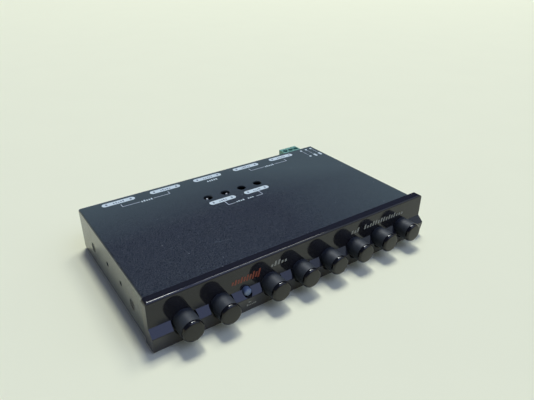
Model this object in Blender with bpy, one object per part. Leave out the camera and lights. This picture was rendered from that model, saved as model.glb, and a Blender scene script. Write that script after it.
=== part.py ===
"""Graphic equalizer: a slim sheet-metal case with a moulded fascia, eight rotary level knobs, a select
button, four trimmers under holes in the cover, ten phono sockets and a pluggable power terminal.

Sizes are millimetres, with +Z up, the fascia facing -Y and the origin at the bottom centre of the object.
"""

import math

import bmesh
import bpy
from mathutils import Matrix, Vector

MM = 0.001
GAP = 0.3

# Fascia
FASCIA_W = 185.0
FASCIA_H = 27.5
FASCIA_CORNER_R = 2.0
FASCIA_WALL = 2.0
UPPER_DEPTH = 5.4
LEDGE_DEPTH = 9.4
BOTTOM_DEPTH = 8.0
LEDGE_TOP_Z = 13.0
LEDGE_EDGE_Z = 9.4
TOP_EDGE_R = 1.3

# Case
CASE_LEFT = -91.6
CASE_RIGHT = 86.4
CASE_DEPTH = 96.8
CASE_TOP = 27.2
CASE_BOTTOM = 1.2
SHEET = 1.0
BEND_R = 1.2

# Front and rear of the whole object, measured from the cover's front edge
KNOB_REACH = 17.1
JACK_REACH = 9.5
PLUG_REACH = 16.6
FRONT = -(CASE_DEPTH + PLUG_REACH - KNOB_REACH) / 2
REAR = FRONT + CASE_DEPTH

# Knobs and potentiometers
KNOB_X = (-75, -55, -25, -5, 15, 35, 55, 75)
KNOB_Z = 10.9
KNOB_R = 5.8
KNOB_FACE_R = 4.9
POCKET_R = 6.8
SHAFT_R = 3.0
BUSHING_R = 3.5
POT_W = 9.8
POT_H = 11.0
POT_DEPTH = 6.8

# Select button
BUTTON_X = -40.0
BUTTON_Z = 11.8
BUTTON_R = 2.3
BUTTON_REACH = 8.2

# Boards
BOARD_T = 1.6
BOARD_Z = 5.2
BOARD_TOP = BOARD_Z + BOARD_T + GAP
BOARD_X = (-86.0, 81.0)
BOARD_SCREWS = ((-80, 20), (75, 20))

# Trimmers
TRIMMER_X = tuple(-2.6 + 12.2 * step for step in (-1.5, -0.5, 0.5, 1.5))
TRIMMER_Y = FRONT + 67.0
ROTOR_TOP = 24.6  # the screwdriver end of a trimmer, under its hole in the cover
TRIMMER_HOLE_R = 2.9

# Phono sockets
PAIR_X = tuple(-7.5 + 30.6 * step for step in (-2, -1, 0, 1, 2))
JACK_OFFSET = 5.0
JACK_Z = 13.2
SHELL_R = 4.15

# Power terminal
TERMINAL_X = 75.6
TERMINAL_PITCH = 5.08
PLUG_W = 15.4
PLUG_TOP = 22.5
PLUG_BOTTOM = 7.5
PIN_Z = 15.0
HEADER_REACH = 5.0

# Side screws and bracket holes, measured from the cover's front edge
SIDE_SCREWS = ((16.3, 11.8), (75.4, 12.0))
BRACKET_HOLES = ((30.8, 15.3), (50.7, 15.3))
FASCIA_SCREW_X = (-65.0, 65.0)
FASCIA_SCREW_Z = 21.5


def clear_scene():
    for obj in list(bpy.data.objects):
        bpy.data.objects.remove(obj, do_unlink=True)


def material(name, color, metallic=0.0, roughness=0.5):
    mat = bpy.data.materials.new(name)
    mat.use_nodes = True
    shader = mat.node_tree.nodes["Principled BSDF"]
    shader.inputs["Base Color"].default_value = (*color, 1.0)
    shader.inputs["Metallic"].default_value = metallic
    shader.inputs["Roughness"].default_value = roughness
    mat.diffuse_color = (*color, 1.0)
    return mat


def add_object(name, bm):
    bmesh.ops.recalc_face_normals(bm, faces=bm.faces)
    mesh = bpy.data.meshes.new(name)
    bm.to_mesh(mesh)
    bm.free()
    obj = bpy.data.objects.new(name, mesh)
    bpy.context.scene.collection.objects.link(obj)
    return obj


def box(name, xs, ys, zs):
    bm = bmesh.new()
    bmesh.ops.create_cube(bm, size=1.0)
    low = Vector((min(xs), min(ys), min(zs)))
    high = Vector((max(xs), max(ys), max(zs)))
    for vert in bm.verts:
        for axis in range(3):
            vert.co[axis] = (high[axis] if vert.co[axis] > 0 else low[axis]) * MM
    return add_object(name, bm)


def turned(name, profile, segments=24, axis="Y", centre=(0, 0, 0), closed=False):
    """Solid of revolution. The profile holds (radius, position along the axis) pairs."""
    bm = bmesh.new()
    rings = []
    for radius, along in profile:
        steps = segments if radius > 0 else 1
        ring = []
        for step in range(steps):
            angle = 2 * math.pi * (step + 0.5) / segments
            a, b = radius * math.cos(angle), radius * math.sin(angle)
            co = {"X": (along, a, b), "Y": (a, along, b), "Z": (a, b, along)}[axis]
            ring.append(bm.verts.new((Vector(co) + Vector(centre)) * MM))
        rings.append(ring)
    pairs = list(zip(rings, rings[1:]))
    if closed:
        pairs.append((rings[-1], rings[0]))
    for first, second in pairs:
        for step in range(segments):
            corners = [first[step % len(first)], first[(step + 1) % len(first)]]
            corners += [second[(step + 1) % len(second)], second[step % len(second)]]
            unique = list(dict.fromkeys(corners))
            if len(unique) > 2:
                bm.faces.new(unique)
    return add_object(name, bm)


def rod(name, radius, start, end, segments=24, axis="Y", centre=(0, 0, 0)):
    profile = ((0, start), (radius, start), (radius, end), (0, end))
    return turned(name, profile, segments, axis, centre)


def tube(name, outer, inner, start, end, segments=24, axis="Y", centre=(0, 0, 0)):
    profile = ((inner, start), (outer, start), (outer, end), (inner, end))
    return turned(name, profile, segments, axis, centre, closed=True)


def rounded(points, radii, steps=4):
    """The polygon with each corner replaced by an arc of its radius."""
    outline = []
    count = len(points)
    for index, (point, radius) in enumerate(zip(points, radii)):
        corner = Vector(point)
        if radius == 0:
            outline.append(corner)
            continue
        to_last = (Vector(points[index - 1]) - corner).normalized()
        to_next = (Vector(points[(index + 1) % count]) - corner).normalized()
        half = to_last.angle(to_next) / 2
        middle = corner + (to_last + to_next).normalized() * (radius / math.sin(half))
        spoke = corner + to_last * (radius / math.tan(half)) - middle
        turn = math.pi - 2 * half
        if to_last.x * to_next.y - to_last.y * to_next.x > 0:
            turn = -turn
        for step in range(steps + 1):
            outline.append(middle + Matrix.Rotation(turn * step / steps, 2) @ spoke)
    return outline


def prism(name, outline, axis, start, end):
    """The outline, in the two axes left over in X, Y, Z order, drawn out along the axis."""
    bm = bmesh.new()
    ends = []
    for along in (start, end):
        ring = []
        for a, b in outline:
            co = {"X": (along, a, b), "Y": (a, along, b), "Z": (a, b, along)}[axis]
            ring.append(bm.verts.new(Vector(co) * MM))
        ends.append(ring)
    bm.faces.new(ends[0])
    bm.faces.new(ends[1])
    for step in range(len(outline)):
        after = (step + 1) % len(outline)
        bm.faces.new((ends[0][step], ends[0][after], ends[1][after], ends[1][step]))
    return add_object(name, bm)


def group(name, pieces):
    """One object that holds all the pieces, for use as a Boolean tool."""
    bm = bmesh.new()
    for piece in pieces:
        bm.from_mesh(piece.data)
        bpy.data.objects.remove(piece, do_unlink=True)
    return add_object(name, bm)


def boolean(obj, tool, operation="DIFFERENCE"):
    modifier = obj.modifiers.new(operation.title(), "BOOLEAN")
    modifier.operation = operation
    modifier.solver = "EXACT"
    modifier.object = tool
    tool.display_type = "WIRE"
    tool.hide_render = True


def bake(obj):
    """Replaces the object's mesh by its evaluated one and removes the tools that shaped it."""
    tools = [modifier.object for modifier in obj.modifiers if modifier.type == "BOOLEAN"]
    bpy.context.view_layer.update()
    graph = bpy.context.evaluated_depsgraph_get()
    mesh = bpy.data.meshes.new_from_object(obj.evaluated_get(graph))
    obj.modifiers.clear()
    obj.data = mesh
    for tool in tools:
        bpy.data.objects.remove(tool, do_unlink=True)
    return obj


def place(obj, name, location):
    """A copy of the object with its origin at the location."""
    copy = bpy.data.objects.new(name, obj.data.copy())
    copy.location = Vector(location) * MM
    bpy.context.scene.collection.objects.link(copy)
    return copy


def finish(obj, mat, smooth=False):
    obj.data.materials.clear()
    obj.data.materials.append(mat)
    for face in obj.data.polygons:
        face.material_index = 0
    if smooth:
        obj.data.shade_smooth()
        obj.data.set_sharp_from_angle(angle=math.radians(35))
    return obj


def case_y(depth):
    """Row position of a depth measured from the cover's front edge."""
    return FRONT + depth


def build_fascia():
    back = case_y(-GAP)
    top_y = case_y(-UPPER_DEPTH)
    profile = (
        (back, 0),
        (case_y(-BOTTOM_DEPTH), 0),
        (case_y(-LEDGE_DEPTH), LEDGE_EDGE_Z),
        (top_y, LEDGE_TOP_Z),
        (top_y, FASCIA_H),
        (back, FASCIA_H),
    )
    outline = rounded(profile, (0, 0.8, 0.6, 0, TOP_EDGE_R, 0))
    fascia = prism("fascia", outline, "X", -FASCIA_W / 2, FASCIA_W / 2)
    half = FASCIA_W / 2
    corners = ((-half, 0), (half, 0), (half, FASCIA_H), (-half, FASCIA_H))
    frame = prism(
        "fascia_outline",
        rounded(corners, (1.2, 1.2, FASCIA_CORNER_R, FASCIA_CORNER_R)),
        "Y",
        case_y(-30),
        case_y(10),
    )
    boolean(fascia, frame, "INTERSECT")
    hollow = box(
        "fascia_hollow",
        (CASE_LEFT + 1.1, CASE_RIGHT - 1.9),
        (case_y(-UPPER_DEPTH + FASCIA_WALL), case_y(5)),
        (2.0, FASCIA_H - 2.0),
    )
    boolean(fascia, hollow)
    bosses = []
    for x in FASCIA_SCREW_X:
        centre = (x, 0, FASCIA_SCREW_Z)
        start = case_y(-UPPER_DEPTH + 1.0)
        bosses.append(rod("boss", 2.2, start, back, 12, centre=centre))
    boolean(fascia, group("fascia_bosses", bosses), "UNION")
    pockets = []
    holes = []
    for x in KNOB_X:
        centre = (x, 0, KNOB_Z)
        pockets.append(rod("pocket", POCKET_R, case_y(-30), case_y(-UPPER_DEPTH - 0.05), 32, centre=centre))
        holes.append(rod("hole", 3.6, case_y(-10), case_y(0), 16, centre=centre))
    centre = (BUTTON_X, 0, BUTTON_Z)
    holes.append(rod("hole", BUTTON_R + 0.3, case_y(-20), case_y(0), 24, centre=centre))
    for x in FASCIA_SCREW_X:
        centre = (x, 0, FASCIA_SCREW_Z)
        holes.append(rod("hole", 1.15, case_y(-UPPER_DEPTH + 1.4), case_y(5), 12, centre=centre))
    boolean(fascia, group("fascia_pockets", pockets))
    boolean(fascia, group("fascia_holes", holes))
    return finish(bake(fascia), material("fascia_black", (0.018, 0.022, 0.030), 0.0, 0.15))


def side_tools(radius_out, radius_in, segments):
    """Cones for the side screws, on both sides of the case."""
    tools = []
    for side, inward in ((CASE_LEFT, 1), (CASE_RIGHT, -1)):
        for depth, z in SIDE_SCREWS:
            profile = (
                (0, side - inward),
                (radius_out, side - inward),
                (radius_out, side),
                (radius_in, side + inward * 0.9),
                (radius_in, side + inward * 5),
                (0, side + inward * 5),
            )
            tools.append(turned("tool", profile, segments, "X", (0, case_y(depth), z)))
    return tools


def bracket_tools(radius):
    tools = []
    for depth, z in BRACKET_HOLES:
        for side in (CASE_LEFT, CASE_RIGHT):
            tools.append(rod("tool", radius, side - 4, side + 4, 16, "X", (0, case_y(depth), z)))
    return tools


def build_cover():
    corners = (
        (CASE_LEFT, CASE_BOTTOM),
        (CASE_LEFT + SHEET, CASE_BOTTOM),
        (CASE_LEFT + SHEET, CASE_TOP - SHEET),
        (CASE_RIGHT - SHEET, CASE_TOP - SHEET),
        (CASE_RIGHT - SHEET, CASE_BOTTOM),
        (CASE_RIGHT, CASE_BOTTOM),
        (CASE_RIGHT, CASE_TOP),
        (CASE_LEFT, CASE_TOP),
    )
    outline = rounded(corners, (0, 0, 0.3, 0.3, 0, 0, BEND_R, BEND_R))
    cover = prism("top_cover", outline, "Y", FRONT, REAR)
    access = []
    for x in TRIMMER_X:
        access.append(rod("tool", TRIMMER_HOLE_R, CASE_TOP - 4, CASE_TOP + 4, 28, "Z", (x, TRIMMER_Y, 0)))
    boolean(cover, group("cover_tools", access + side_tools(3.3, 2.0, 24) + bracket_tools(1.5)))
    return finish(bake(cover), material("cover_paint", (0.045, 0.055, 0.075), 0.0, 0.6))


def build_tray():
    left = CASE_LEFT + SHEET + GAP
    right = CASE_RIGHT - SHEET - GAP
    low = CASE_BOTTOM
    high = CASE_TOP - SHEET - GAP
    tray = box("chassis_tray", (left, right), (case_y(GAP), REAR - GAP), (low, high))
    inner_y = (case_y(GAP) + SHEET, REAR - GAP - SHEET)
    inner = box("tray_inside", (left + SHEET, right - SHEET), inner_y, (low + SHEET, high + 10))
    boolean(tray, inner)
    posts = []
    for x, depth in BOARD_SCREWS:
        centre = (x, case_y(depth), 0)
        posts.append(rod("post", 2.8, CASE_BOTTOM + SHEET / 2, BOARD_Z - GAP, 16, "Z", centre))
    boolean(tray, group("tray_posts", posts), "UNION")
    tools = side_tools(1.5, 1.5, 16) + bracket_tools(1.3)
    front = (case_y(-3), case_y(4))
    for x in KNOB_X:
        tools.append(rod("tool", 3.8, *front, 20, centre=(x, 0, KNOB_Z)))
    for x in FASCIA_SCREW_X:
        tools.append(rod("tool", 1.3, *front, 16, centre=(x, 0, FASCIA_SCREW_Z)))
    tools.append(rod("tool", 1.8, *front, 16, centre=(BUTTON_X, 0, BUTTON_Z)))
    for x in PAIR_X:
        for offset in (-JACK_OFFSET, JACK_OFFSET):
            tools.append(rod("tool", SHELL_R + 0.4, REAR - 4, REAR + 4, 20, centre=(x + offset, 0, JACK_Z)))
    half = PLUG_W / 2 + 0.5
    window = (TERMINAL_X - half, TERMINAL_X + half)
    tools.append(box("tool", window, (REAR - 4, REAR + 4), (BOARD_TOP - 0.3, PLUG_TOP + 0.7)))
    for x, depth in BOARD_SCREWS:
        tools.append(rod("tool", 1.35, CASE_BOTTOM - 2, BOARD_Z + 2, 16, "Z", (x, case_y(depth), 0)))
    boolean(tray, group("tray_tools", tools))
    return finish(bake(tray), material("tray_paint", (0.050, 0.058, 0.070), 0.0, 0.6))


def build_case_screws():
    steel = material("cover_screw_steel", (0.08, 0.08, 0.09), 0.9, 0.4)
    number = 0
    for side, inward in ((CASE_LEFT, 1), (CASE_RIGHT, -1)):
        for depth, z in SIDE_SCREWS:
            profile = (
                (0, side + inward * 0.45),
                (1.0, side + inward * 0.35),
                (1.1, side + inward * 0.1),
                (2.7, side + inward * 0.1),
                (1.5, side + inward * 1.05),
                (1.2, side + inward * 1.3),
                (1.2, side + inward * 5.5),
                (0, side + inward * 5.5),
            )
            number += 1
            screw = turned(f"cover_screw_{number}", profile, 20, "X", (0, case_y(depth), z))
            finish(screw, steel, True)
    steel = material("fascia_screw_steel", (0.5, 0.5, 0.5), 1.0, 0.35)
    for number, x in enumerate(FASCIA_SCREW_X, 1):
        profile = (
            (0, case_y(-3.2)),
            (0.9, case_y(-3.2)),
            (0.9, case_y(1.6)),
            (2.4, case_y(1.6)),
            (2.4, case_y(2.4)),
            (1.5, case_y(3.0)),
            (0, case_y(3.1)),
        )
        screw = turned(f"fascia_screw_{number}", profile, 16, centre=(x, 0, FASCIA_SCREW_Z))
        finish(screw, steel, True)


def build_pots():
    plastic = material("pot_case", (0.05, 0.09, 0.20), 0.1, 0.45)
    front = case_y(GAP + SHEET + GAP)
    body = box("pot_case_box", (-POT_W / 2, POT_W / 2), (0, POT_DEPTH), (-POT_H / 2, POT_H / 2))
    neck = rod("neck", BUSHING_R, -4.5, 1.0, 20)
    boolean(body, neck, "UNION")
    bore = rod("bore", SHAFT_R + 0.12, -8, 4.0, 20)
    boolean(body, bore)
    bake(body)
    shaft = rod("shaft_rod", SHAFT_R, -15.9, 3.5, 20)
    flat = box("flat", (-5, 5), (-20, -6.5), (1.9, 5))
    boolean(shaft, flat)
    bake(shaft)
    knob_profile = (
        (0, -KNOB_REACH),
        (KNOB_FACE_R, -KNOB_REACH),
        (KNOB_R - 0.25, -KNOB_REACH + 0.45),
        (KNOB_R, -KNOB_REACH + 1.3),
        (KNOB_R, -UPPER_DEPTH - 0.6),
        (0, -UPPER_DEPTH - 0.6),
    )
    knob = turned("knob_body", knob_profile, 28)
    socket = rod("socket", SHAFT_R + 0.15, -14.7, 0, 20)
    boolean(socket, box("key", (-5, 5), (-20, -7.9), (2.05, 5)))
    bake(socket)
    boolean(knob, socket)
    bake(knob)
    shaft_metal = material("pot_shaft_metal", (0.6, 0.6, 0.62), 1.0, 0.3)
    knob_plastic = material("knob_plastic", (0.03, 0.035, 0.042), 0.0, 0.3)
    for number, x in enumerate(KNOB_X, 1):
        finish(place(body, f"pot_body_{number}", (x, front, KNOB_Z)), plastic)
        finish(place(shaft, f"pot_shaft_{number}", (x, front, KNOB_Z)), shaft_metal, True)
        finish(place(knob, f"knob_{number}", (x, FRONT, KNOB_Z)), knob_plastic, True)
    for source in (body, shaft, knob):
        bpy.data.objects.remove(source, do_unlink=True)


def build_button():
    centre = (BUTTON_X, 0, BUTTON_Z)
    profile = (
        (0, -BUTTON_REACH),
        (BUTTON_R * 0.55, -BUTTON_REACH + 0.1),
        (BUTTON_R * 0.87, -BUTTON_REACH + 0.45),
        (BUTTON_R, -BUTTON_REACH + 1.1),
        (BUTTON_R, -3.1),
        (3.2, -3.1),
        (3.2, -2.4),
        (1.2, -2.4),
        (1.2, 5.0),
        (0, 5.0),
    )
    cap = turned("select_button", profile, 20)
    cap.location = Vector((BUTTON_X, FRONT, BUTTON_Z)) * MM
    finish(cap, material("button_clear", (0.62, 0.72, 0.85), 0.0, 0.2), True)
    front = case_y(GAP + SHEET + GAP)
    body = box(
        "select_switch",
        (BUTTON_X - 3.5, BUTTON_X + 3.5),
        (front, front + POT_DEPTH),
        (BUTTON_Z - 3.5, BUTTON_Z + 3.5),
    )
    boolean(body, rod("bore", 1.4, case_y(-1), case_y(7.2), 16, centre=centre))
    finish(bake(body), material("switch_plastic", (0.04, 0.04, 0.04), 0.0, 0.5))


def build_boards():
    steel = material("board_screw_steel", (0.6, 0.6, 0.6), 1.0, 0.3)
    main = box("main_board", BOARD_X, (case_y(11.2), case_y(94.0)), (BOARD_Z, BOARD_Z + BOARD_T))
    holes = []
    for number, (x, depth) in enumerate(BOARD_SCREWS, 1):
        centre = (x, case_y(depth), 0)
        holes.append(rod("hole", 1.6, 0, 20, 16, "Z", centre))
        profile = (
            (0, CASE_BOTTOM + 0.3),
            (1.15, CASE_BOTTOM + 0.3),
            (1.15, BOARD_TOP),
            (2.7, BOARD_TOP),
            (2.7, BOARD_TOP + 1.0),
            (1.6, BOARD_TOP + 1.8),
            (0, BOARD_TOP + 1.9),
        )
        finish(turned(f"board_screw_{number}", profile, 16, "Z", centre), steel, True)
    boolean(main, group("board_holes", holes))
    finish(bake(main), material("main_board_fr4", (0.03, 0.16, 0.08), 0.0, 0.4))
    start = case_y(GAP + SHEET + GAP + POT_DEPTH + GAP)
    pot_board = box("pot_board", BOARD_X, (start, start + BOARD_T), (3.6, 24.0))
    finish(pot_board, material("pot_board_fr4", (0.03, 0.16, 0.08), 0.0, 0.4))
    link = box("board_link", (-40, 40), (case_y(10.9), case_y(13.4)), (BOARD_TOP, BOARD_TOP + 2.5))
    finish(link, material("link_plastic", (0.03, 0.03, 0.03), 0.0, 0.5))


def build_trimmers():
    blue = material("trimmer_case", (0.06, 0.10, 0.30), 0.0, 0.4)
    dark = material("trimmer_dark", (0.05, 0.05, 0.055), 0.0, 0.4)
    for number, x in enumerate(TRIMMER_X, 1):
        half = 4.8
        xs = (x - half, x + half)
        ys = (TRIMMER_Y - half, TRIMMER_Y + half)
        body = box(f"trimmer_body_{number}", xs, ys, (BOARD_TOP, BOARD_TOP + 5.0))
        boolean(body, rod("bore", 2.4, BOARD_TOP + 1.2, BOARD_TOP + 9, 20, "Z", (x, TRIMMER_Y, 0)))
        finish(bake(body), blue)
        profile = (
            (0, 1.6),
            (2.2, 1.6),
            (2.2, 5.4),
            (3.4, 5.4),
            (3.4, 6.4),
            (2.2, 6.4),
            (2.2, ROTOR_TOP - BOARD_TOP),
            (0, ROTOR_TOP - BOARD_TOP),
        )
        rotor = turned(f"trimmer_rotor_{number}", profile, 16, "Z")
        rotor.location = Vector((x, TRIMMER_Y, BOARD_TOP)) * MM
        slot = box("slot", (x - 0.45, x + 0.45), ys, (ROTOR_TOP - 1.3, ROTOR_TOP + 2))
        boolean(rotor, slot)
        finish(bake(rotor), dark, True)


def build_jacks():
    plastic = material("jack_plastic", (0.05, 0.05, 0.055), 0.0, 0.4)
    seat = REAR - GAP - SHEET - GAP
    for number, x in enumerate(PAIR_X, 1):
        name = f"phono_pair_{number}"
        pair = box(name, (x - 9.6, x + 9.6), (REAR - 14.0, seat), (BOARD_TOP, 23.0))
        barrels = []
        rings = []
        for offset in (-JACK_OFFSET, JACK_OFFSET):
            centre = (x + offset, 0, JACK_Z)
            barrels.append(rod("barrel", SHELL_R, seat - 2, REAR + JACK_REACH, 20, centre=centre))
            profile = (
                (0, REAR - 4),
                (1.6, REAR - 4),
                (1.6, REAR + 8.4),
                (3.3, REAR + 8.4),
                (3.3, REAR + 12),
                (0, REAR + 12),
            )
            rings.append(turned("ring", profile, 16, centre=centre))
        boolean(pair, group("barrels", barrels), "UNION")
        boolean(pair, group("rings", rings))
        finish(bake(pair), plastic, True)


def build_terminal():
    poles = [TERMINAL_X + TERMINAL_PITCH * step for step in (-1, 0, 1)]
    half = PLUG_W / 2
    mouth = REAR + HEADER_REACH
    outer = (TERMINAL_X - half - 0.2, TERMINAL_X + half + 0.2)
    header = box("terminal_header", outer, (mouth - 12, mouth), (BOARD_TOP, PLUG_TOP + 0.4))
    inner = (TERMINAL_X - half + 1.2, TERMINAL_X + half - 1.2)
    boolean(header, box("cavity", inner, (mouth - 9.5, mouth + 5), (9.5, 20.5)))
    pins = [rod("pin", 0.5, mouth - 11, mouth - 2.5, 12, centre=(x, 0, PIN_Z)) for x in poles]
    boolean(header, group("header_pins", pins), "UNION")
    finish(bake(header), material("header_green", (0.04, 0.20, 0.12), 0.0, 0.45))
    front = mouth + GAP
    rear = REAR + PLUG_REACH
    plug = box("terminal_plug", (TERMINAL_X - half, TERMINAL_X + half), (front, rear), (PLUG_BOTTOM, PLUG_TOP))
    tongue_x = (inner[0] + 0.3, inner[1] - 0.3)
    boolean(plug, box("tongue", tongue_x, (mouth - 9.0, front + 1), (9.8, 20.2)), "UNION")
    sockets = [rod("socket", 0.8, mouth - 12, mouth - 2.0, 12, centre=(x, 0, PIN_Z)) for x in poles]
    well_y = rear - 4.4
    wells = [rod("well", 1.9, PLUG_TOP - 4.0, PLUG_TOP + 3, 20, "Z", (x, well_y, 0)) for x in poles]
    entries = []
    for x in poles:
        entries.append(box("entry", (x - 1.8, x + 1.8), (rear - 7, rear + 5), (9.4, 13.6)))
    boolean(plug, group("plug_tools", sockets + wells + entries))
    finish(bake(plug), material("plug_green", (0.10, 0.36, 0.24), 0.0, 0.45))
    steel = material("terminal_screw_steel", (0.6, 0.6, 0.6), 1.0, 0.3)
    for number, x in enumerate(poles, 1):
        centre = (x, well_y, 0)
        screw = rod(f"terminal_screw_{number}", 1.6, PLUG_TOP - 3.7, PLUG_TOP - 1.8, 20, "Z", centre)
        slot_y = (well_y - 4, well_y + 4)
        boolean(screw, box("slot", (x - 0.3, x + 0.3), slot_y, (PLUG_TOP - 2.5, PLUG_TOP)))
        finish(bake(screw), steel, True)


def build_components():
    profile = ((0, 0), (5.0, 0), (5.0, 13.5), (4.5, 14.0), (0, 14.0))
    can = turned("filter_capacitor", profile, 20, "Z", (60, case_y(62), BOARD_TOP))
    finish(can, material("can_sleeve", (0.02, 0.03, 0.06), 0.1, 0.4), True)
    ring = []
    for step in range(8):
        angle = 2 * math.pi * step / 8
        ring.append((5.0 + 2.4 * math.cos(angle), BOARD_TOP + 2.8 + 2.4 * math.sin(angle)))
    coil = turned("power_inductor", ring, 20, "Z", (72, case_y(50), 0), closed=True)
    finish(coil, material("coil_copper", (0.5, 0.22, 0.08), 0.6, 0.4), True)


clear_scene()
build_fascia()
build_cover()
build_tray()
build_case_screws()
build_pots()
build_button()
build_boards()
build_trimmers()
build_jacks()
build_terminal()
build_components()
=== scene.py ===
"""Looks of the graphic equalizer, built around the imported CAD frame.

Shapes are worked out in millimetres and scaled by MM as their vertices are made.
"""

import math
import random

import bmesh
import bpy
from mathutils import Euler, Matrix, Vector


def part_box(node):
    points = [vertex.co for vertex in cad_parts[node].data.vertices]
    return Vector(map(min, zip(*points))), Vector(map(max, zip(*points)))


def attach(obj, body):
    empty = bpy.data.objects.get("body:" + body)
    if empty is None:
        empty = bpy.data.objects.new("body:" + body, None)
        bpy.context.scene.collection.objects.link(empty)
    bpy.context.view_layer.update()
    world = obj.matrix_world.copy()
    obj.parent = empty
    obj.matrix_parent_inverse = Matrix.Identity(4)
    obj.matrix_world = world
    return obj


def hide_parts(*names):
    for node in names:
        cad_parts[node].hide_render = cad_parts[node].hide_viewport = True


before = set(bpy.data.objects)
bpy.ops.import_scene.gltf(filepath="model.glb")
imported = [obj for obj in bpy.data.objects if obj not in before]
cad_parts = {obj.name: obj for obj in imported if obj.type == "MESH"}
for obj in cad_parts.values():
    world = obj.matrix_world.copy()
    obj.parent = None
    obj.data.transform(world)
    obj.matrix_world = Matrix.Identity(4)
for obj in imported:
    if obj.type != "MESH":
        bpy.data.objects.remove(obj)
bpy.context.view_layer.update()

MM = 0.001
CASE = "case"
KNOBS = 8
TRIMMERS = 4
PAIRS = 5

# ---------------------------------------------------------------- places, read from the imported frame


def edges(node):
    low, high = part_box(node)
    return low / MM, high / MM


cover_low, cover_high = edges("top_cover")
fascia_high = edges("fascia")[1]
FRONT = cover_low.y
REAR = cover_high.y
CASE_TOP = cover_high.z
CASE_BOTTOM = cover_low.z
CASE_LEFT = cover_low.x
CASE_RIGHT = cover_high.x
FASCIA_HALF = fascia_high.x
FASCIA_TOP = fascia_high.z


def centre_of(node):
    low, high = edges(node)
    return (low + high) / 2


knob_axes = [centre_of(f"knob_{n}") for n in range(1, KNOBS + 1)]
trimmer_axes = [centre_of(f"trimmer_rotor_{n}") for n in range(1, TRIMMERS + 1)]
button_axis = centre_of("select_button")

# Sheet-metal case. The pairs are (distance behind the case's front edge, height).
SHEET = 1.0
BEND_R = 1.2
TRIMMER_HOLE_R = 2.9
SIDE_SCREWS = ((16.3, 11.8), (75.4, 12.0))
SCREW_SEAT_R = 3.3
SCREW_HOLE_R = 2.0
BRACKET_HOLES = ((30.8, 15.3), (50.7, 15.3))
BRACKET_HOLE_R = 1.5

# Fascia. Depths run forward from the case's front edge.
UPPER_DEPTH = 5.4
LEDGE_DEPTH = 9.4
BOTTOM_DEPTH = 8.0
LEDGE_TOP_Z = 13.0
LEDGE_EDGE_Z = 9.4
KNOB_POCKET_R = 6.8
SHAFT_HOLE_R = 3.6
BUTTON_HOLE_R = 2.6

# Controls and connectors.
KNOB_R = 5.8
KNOB_REACH = 17.1
KNOB_BORE_R = 3.2
BUTTON_R = 2.3
ROTOR_R = 2.2
ROTOR_FLANGE_R = 3.35
POINTER_RISE = 1.2
POINTER_HEADINGS = (90, 29, 243, 240)  # in plan, in degrees from +X
SOCKET_HALF_PITCH = 5.0
SOCKET_Z = 13.2
SOCKET_REACH = 9.5
WIRE_HOLE_Z = (9.4, 13.6)
PIN_Z = 15.0

# Printed marks.
PRINT_SINK = 0.05
PRINT_RISE = 0.03
PILL_HEIGHT = 4.1
LETTER_HEIGHT = 1.9
LINE_WIDTH = 0.45
LEAN = 0.25  # sideways shift of a slanted mark for each millimetre of height

# ---------------------------------------------------------------- mesh helpers


def new_object(name, bm):
    bmesh.ops.recalc_face_normals(bm, faces=bm.faces)
    mesh = bpy.data.meshes.new(name)
    bm.to_mesh(mesh)
    bm.free()
    obj = bpy.data.objects.new(name, mesh)
    bpy.context.scene.collection.objects.link(obj)
    return obj


def turned(name, profile, segments=64, axis="Y", centre=(0, 0, 0), closed=False):
    """Solid of revolution from (radius, position along the axis) pairs, in millimetres."""
    bm = bmesh.new()
    rings = []
    for radius, along in profile:
        ring = []
        for step in range(segments if radius > 0 else 1):
            angle = 2 * math.pi * step / segments
            a, b = radius * math.cos(angle), radius * math.sin(angle)
            co = {"X": (along, a, b), "Y": (a, along, b), "Z": (a, b, along)}[axis]
            ring.append(bm.verts.new((Vector(co) + Vector(centre)) * MM))
        rings.append(ring)
    pairs = list(zip(rings, rings[1:]))
    if closed:
        pairs.append((rings[-1], rings[0]))
    for first, second in pairs:
        for step in range(segments):
            corners = [first[step % len(first)], first[(step + 1) % len(first)]]
            corners += [second[(step + 1) % len(second)], second[step % len(second)]]
            unique = list(dict.fromkeys(corners))
            if len(unique) > 2:
                bm.faces.new(unique)
    return new_object(name, bm)


def rounded(points, radii, steps=6):
    """The closed outline through points, with an arc of the matching radius at each corner."""
    outline = []
    count = len(points)
    for index, (point, radius) in enumerate(zip(points, radii)):
        corner = Vector(point)
        if radius == 0:
            outline.append(corner)
            continue
        to_last = (Vector(points[index - 1]) - corner).normalized()
        to_next = (Vector(points[(index + 1) % count]) - corner).normalized()
        half = to_last.angle(to_next) / 2
        middle = corner + (to_last + to_next).normalized() * (radius / math.sin(half))
        spoke = corner + to_last * (radius / math.tan(half)) - middle
        turn = math.pi - 2 * half
        if to_last.x * to_next.y - to_last.y * to_next.x > 0:
            turn = -turn
        for step in range(steps + 1):
            outline.append(middle + Matrix.Rotation(turn * step / steps, 2) @ spoke)
    return outline


def prism(name, outline, axis, start, end):
    """An outline extruded along an axis. Its pairs are (y, z) for X, (x, z) for Y and (x, y) for Z."""
    bm = bmesh.new()
    ends = []
    for along in (start, end):
        ring = []
        for a, b in outline:
            co = {"X": (along, a, b), "Y": (a, along, b), "Z": (a, b, along)}[axis]
            ring.append(bm.verts.new(Vector(co) * MM))
        ends.append(ring)
    bm.faces.new(ends[0])
    bm.faces.new(ends[1])
    for step in range(len(outline)):
        after = (step + 1) % len(outline)
        bm.faces.new((ends[0][step], ends[0][after], ends[1][after], ends[1][step]))
    return new_object(name, bm)


def block(name, xs, ys, zs):
    outline = ((xs[0], ys[0]), (xs[1], ys[0]), (xs[1], ys[1]), (xs[0], ys[1]))
    return prism(name, outline, "Z", zs[0], zs[1])


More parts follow.
